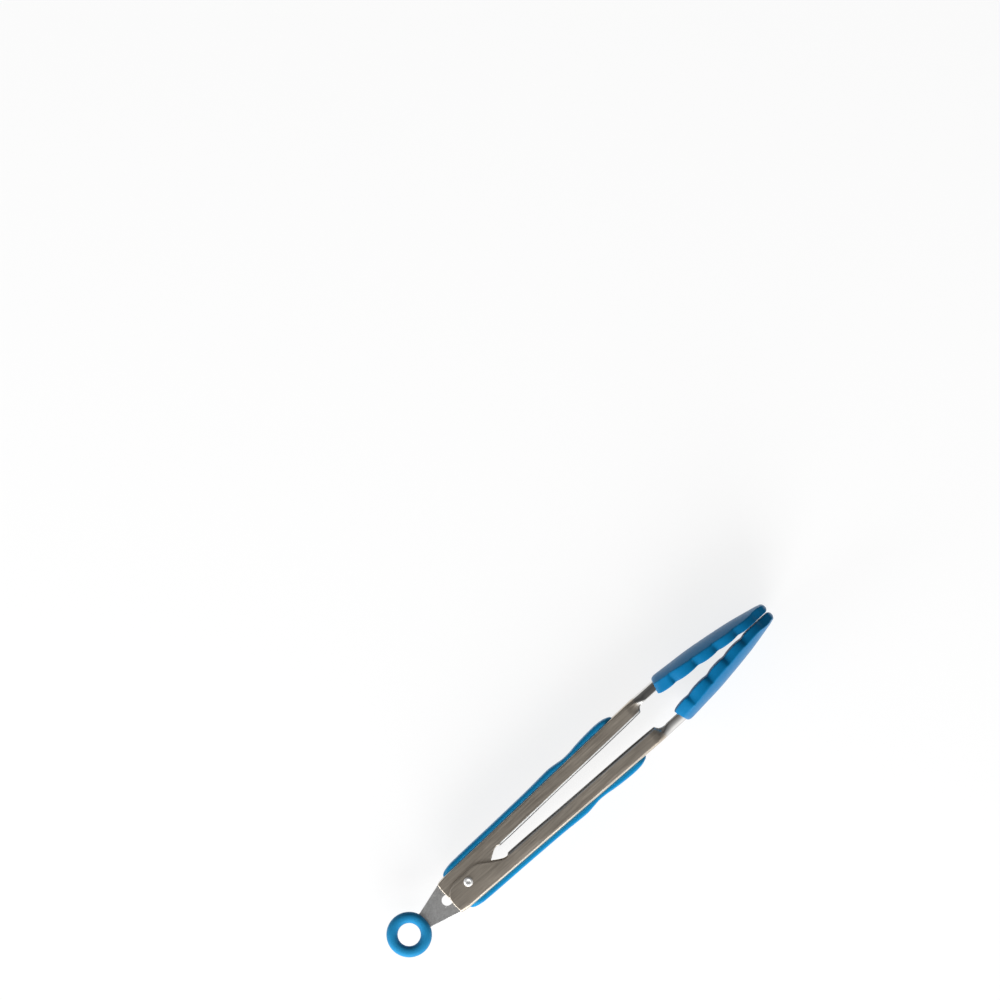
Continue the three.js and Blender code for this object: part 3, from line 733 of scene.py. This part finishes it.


# Painted reflection: the rivet is made near white and partly diffuse, standing in for the bright shine of its
# steel dome.
RIVET_STEEL_PAINTED_SHINE = plain_steel("rivet_steel_painted_shine", (0.96, 0.96, 0.95), 0.30, 0.44, 4000, 4000, 0.4)
head_low = ARM_HALF + 0.02
tail = -ARM_HALF - 2 * GAP - WASHER
washer_low = PLATE / 2 + GAP
washer_high = washer_low + WASHER
rivet = turned("rivet", [
    (0, tail - 0.8), (1.2, tail - 0.78), (1.75, tail - 0.66), (2.1, tail - 0.42), (2.25, tail - 0.15),
    (2.22, tail), (SHANK_R, tail), (SHANK_R, head_low), (2.2, head_low), (2.27, head_low + 0.12),
    (2.2, head_low + 0.45), (1.95, head_low + 0.8), (1.6, head_low + 0.98), (1.25, head_low + 1.05),
    (1.02, head_low + 1.0), (0.9, head_low + 0.8), (0.84, head_low + 0.5), (0.6, head_low + 0.38),
    (0, head_low + 0.34)])
nylon_rings = {
    "sleeve": ("pivot_sleeve", ring_profile(HOLE_R, SLEEVE_R, -STACK_END, STACK_END)),
    "collar": ("spacer_collar",
               ring_profile(SLEEVE_R + GAP, COLLAR_R, -STACK_END, -washer_high - GAP, 0.3)),
    "slide_washer_spring": ("spring_side_washer",
                            ring_profile(SLEEVE_R + GAP, SLIDE_WASHER_R, washer_low, washer_high)),
    "slide_washer_collar": ("spacer_side_washer",
                            ring_profile(SLEEVE_R + GAP, SLIDE_WASHER_R, -washer_high, -washer_low)),
}
tail_washer = turned("rivet_tail_washer",
                     ring_profile(HOLE_R, TAIL_WASHER_R, -ARM_HALF - GAP - WASHER, -ARM_HALF - GAP))
for piece, node in ((rivet, "pivot_rivet"), (tail_washer, "rivet_washer")):
    piece.data.materials.append(RIVET_STEEL_PAINTED_SHINE)
    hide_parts(node)
    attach(piece, "pivot")
for name, (node, profile) in nylon_rings.items():
    ring = turned(name, profile)
    ring.data.materials.append(NYLON)
    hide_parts(node)
    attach(ring, "pivot")

# ---- Torsion spring --------------------------------------------------------------------------------
# One bright drawn wire wound round the sleeve, with a leg that eases out to the inside of each arm's back.
# It is made as two halves that meet in the coil, so that each half turns with its own arm.

WIRE_R = 0.5
COIL_R = 3.6
PITCH = 1.06
HALF_TURNS = 1.5
LEG_END = 34
WIRE_SIDES = 16


def wire_grid():
    """The wire: a circle carried along a leg that eases into a helix. The circle stands square to the path,
    set by the path's direction and the rivet's axis, and shrinks to a point at both ends."""
    turn = np.linspace(0, HALF_TURNS, 110)
    angle = math.pi / 2 + 0.3 + turn * 2 * math.pi
    coil = np.stack([COIL_R * np.cos(angle), COIL_R * np.sin(angle), turn * PITCH], axis=-1)
    reach = float(arm_top(LEG_END)) - SHEET - GAP - WIRE_R
    start = coil[0]
    lead = np.array([math.sin(angle[0]), -math.cos(angle[0]), 0]) * 7
    share = np.linspace(1, 0, 60, endpoint=False)[:, None]
    far = np.array([LEG_END, reach, 0.0])
    aim = far - np.array([13, 2.0, 0])
    leg = start * (1 - share) ** 3 + 3 * (start + lead) * (1 - share) ** 2 * share \
        + 3 * aim * (1 - share) * share ** 2 + far * share ** 3
    path = np.concatenate([leg, coil])
    along = np.gradient(path, axis=0)
    along /= np.linalg.norm(along, axis=1, keepdims=True)
    axis = np.array([0, 0, 1.0])
    side = np.cross(along, axis)
    side /= np.linalg.norm(side, axis=1, keepdims=True)
    over = np.cross(side, along)
    around = np.linspace(0, 2 * math.pi, WIRE_SIDES, endpoint=False)[None, :, None]
    ring = path[:, None] + WIRE_R * (np.cos(around) * side[:, None] + np.sin(around) * over[:, None])
    first = np.repeat(path[:1, None], WIRE_SIDES, axis=1)
    last = np.repeat(path[-1:, None], WIRE_SIDES, axis=1)
    return np.concatenate([first, ring, last])


SPRING_STEEL = plain_steel("spring_steel", (0.70, 0.69, 0.66), 0.16, 0.30, 500, 900)
coil_low = washer_high + GAP + WIRE_R
coil_high = coil_low + 2 * HALF_TURNS * PITCH + 2 * WIRE_R + GAP
for name, flip, lift in (("upper", 1, coil_low), ("lower", -1, coil_high)):
    points = wire_grid() * [1, flip, flip] + [0, 0, lift]
    wire = surface(f"spring_{name}_wire", points)
    wire.data.materials.append(SPRING_STEEL)
    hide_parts(f"spring_{name}_half")
    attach(wire, f"{name}_arm_body")

# ---- Lock plate ------------------------------------------------------------------------------------
# A flat stainless plate that slides on the hinge sleeve: a taper, two wings, and a slot with round ends.
# Its narrow end carries an eye that the pull ring is moulded round.

TRAVEL = 13.8
SLOT_R = 2.55
RING_X = -38.1
EYE_HOLE_R = 7
EYE_R = 9.2
OUTLINE_POINTS = 120


def resampled(points, count):
    """Points spaced evenly along a line through the given ones."""
    points = np.array(points, float)
    length = np.concatenate([[0], np.cumsum(np.linalg.norm(np.diff(points, axis=0), axis=1))])
    at = np.linspace(0, length[-1], count)
    return np.stack([np.interp(at, length, points[:, k]) for k in (0, 1)], axis=-1)


def plate_grid():
    """The plate as sections round its slot: each goes up the slot's wall, over the top face, round the outer
    edge and back underneath, with the corners broken. Both outlines start at the front, on the axis."""
    turn = np.linspace(0, math.pi / 2, 10)
    nose = np.stack([1.5 + 5 * np.cos(turn), 5 * np.sin(turn)], axis=-1)
    wing = [(-5.5, 5.4), (-7.6, 6.05), (-9.2, 7.05), (-10.2, 8.0), (-10.9, 8.42), (-11.6, 8.5), (-12.2, 8.42)]
    outer = resampled(nose.tolist() + wing + [(-27.2, 4.3), (-30, 3.9), (-30, 0)], OUTLINE_POINTS)
    front = np.stack([SLOT_R * np.cos(turn), SLOT_R * np.sin(turn)], axis=-1)
    rear = np.stack([-TRAVEL - SLOT_R * np.sin(turn), SLOT_R * np.cos(turn)], axis=-1)
    slot = resampled(front.tolist() + rear.tolist(), OUTLINE_POINTS)
    outer = np.concatenate([outer, (outer * [1, -1])[-2:0:-1]])
    slot = np.concatenate([slot, (slot * [1, -1])[-2:0:-1]])
    spoke = outer - slot
    spoke /= np.linalg.norm(spoke, axis=1, keepdims=True)
    half = PLATE / 2
    wall = [(0, -half + 0.15), (0, half - 0.15), (0.04, half - 0.05), (0.15, half)]
    rim = [(0.15, half), (0.04, half - 0.05), (0, half - 0.15), (0, -half + 0.15), (0.04, -half + 0.05),
           (0.15, -half)]
    close = [(0.15, -half), (0.04, -half + 0.05)]
    near, far = slot + 0.15 * spoke, outer - 0.15 * spoke
    shares = (0.04, 0.12, 0.3, 0.5, 0.7, 0.88, 0.96)
    lines = [(slot + spoke * inset, z) for inset, z in wall]
    lines += [(near + (far - near) * share, half) for share in shares]
    lines += [(outer - spoke * inset, z) for inset, z in rim]
    lines += [(far + (near - far) * share, -half) for share in shares]
    lines += [(slot + spoke * inset, z) for inset, z in close]
    return np.stack([np.column_stack([line, np.full(len(line), z)]) for line, z in lines], axis=1)


PLATE_STEEL = plain_steel("plate_steel", (0.58, 0.58, 0.575), 0.36, 0.56, 1400, 1900)
plate = surface("lock_plate_sheet", plate_grid(), wrap_rows=True)
eye = turned("lock_plate_eye", ring_profile(EYE_HOLE_R, EYE_R, -PLATE / 2, PLATE / 2), centre_x=RING_X)
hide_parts("lock_plate")
for piece in (plate, eye):
    piece.data.materials.append(PLATE_STEEL)
    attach(piece, "lock_tab")
for polygon in plate.data.polygons:
    polygon.use_smooth = abs(polygon.normal[2]) < 0.9

# ---- Pull ring -------------------------------------------------------------------------------------
# A thick silicone ring moulded round the plate's eye, a little flattened where the plate enters it.
# It is also what the tongs are hung up by.

RING_R = 10.9
RING_HOLE = 5.5
RING_HALF = 3.1


def pull_ring_grid():
    """A superelliptic section carried round a circle, its outer side pulled in a little at the plate."""
    around = np.linspace(0, 2 * math.pi, 128, endpoint=False)[:, None]
    turn = np.linspace(0, 2 * math.pi, 40, endpoint=False)[None, :]
    off = (around + math.pi) % (2 * math.pi) - math.pi
    flat = 0.28 * np.exp(-((off / 0.3) ** 2))
    middle = (RING_R + RING_HOLE) / 2
    half = (RING_R - RING_HOLE) / 2
    power = 0.86
    out = np.sign(np.cos(turn)) * np.abs(np.cos(turn)) ** power
    radius = middle + half * out - flat * np.clip(np.cos(turn), 0, 1)
    height = RING_HALF * 0.98 * np.sign(np.sin(turn)) * np.abs(np.sin(turn)) ** power + 0 * around
    return np.stack([RING_X + radius * np.cos(around), radius * np.sin(around), height], axis=-1)


SILICONE_RING = blue_silicone(
    "blue_silicone_ring", (0.006, 0.170, 0.370), (0.014, 0.225, 0.445), 0.54, 0.12)
pull = surface("pull_ring_body", pull_ring_grid(), wrap_rows=True)
pull.data.materials.append(SILICONE_RING)
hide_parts("pull_ring")
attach(pull, "lock_tab")
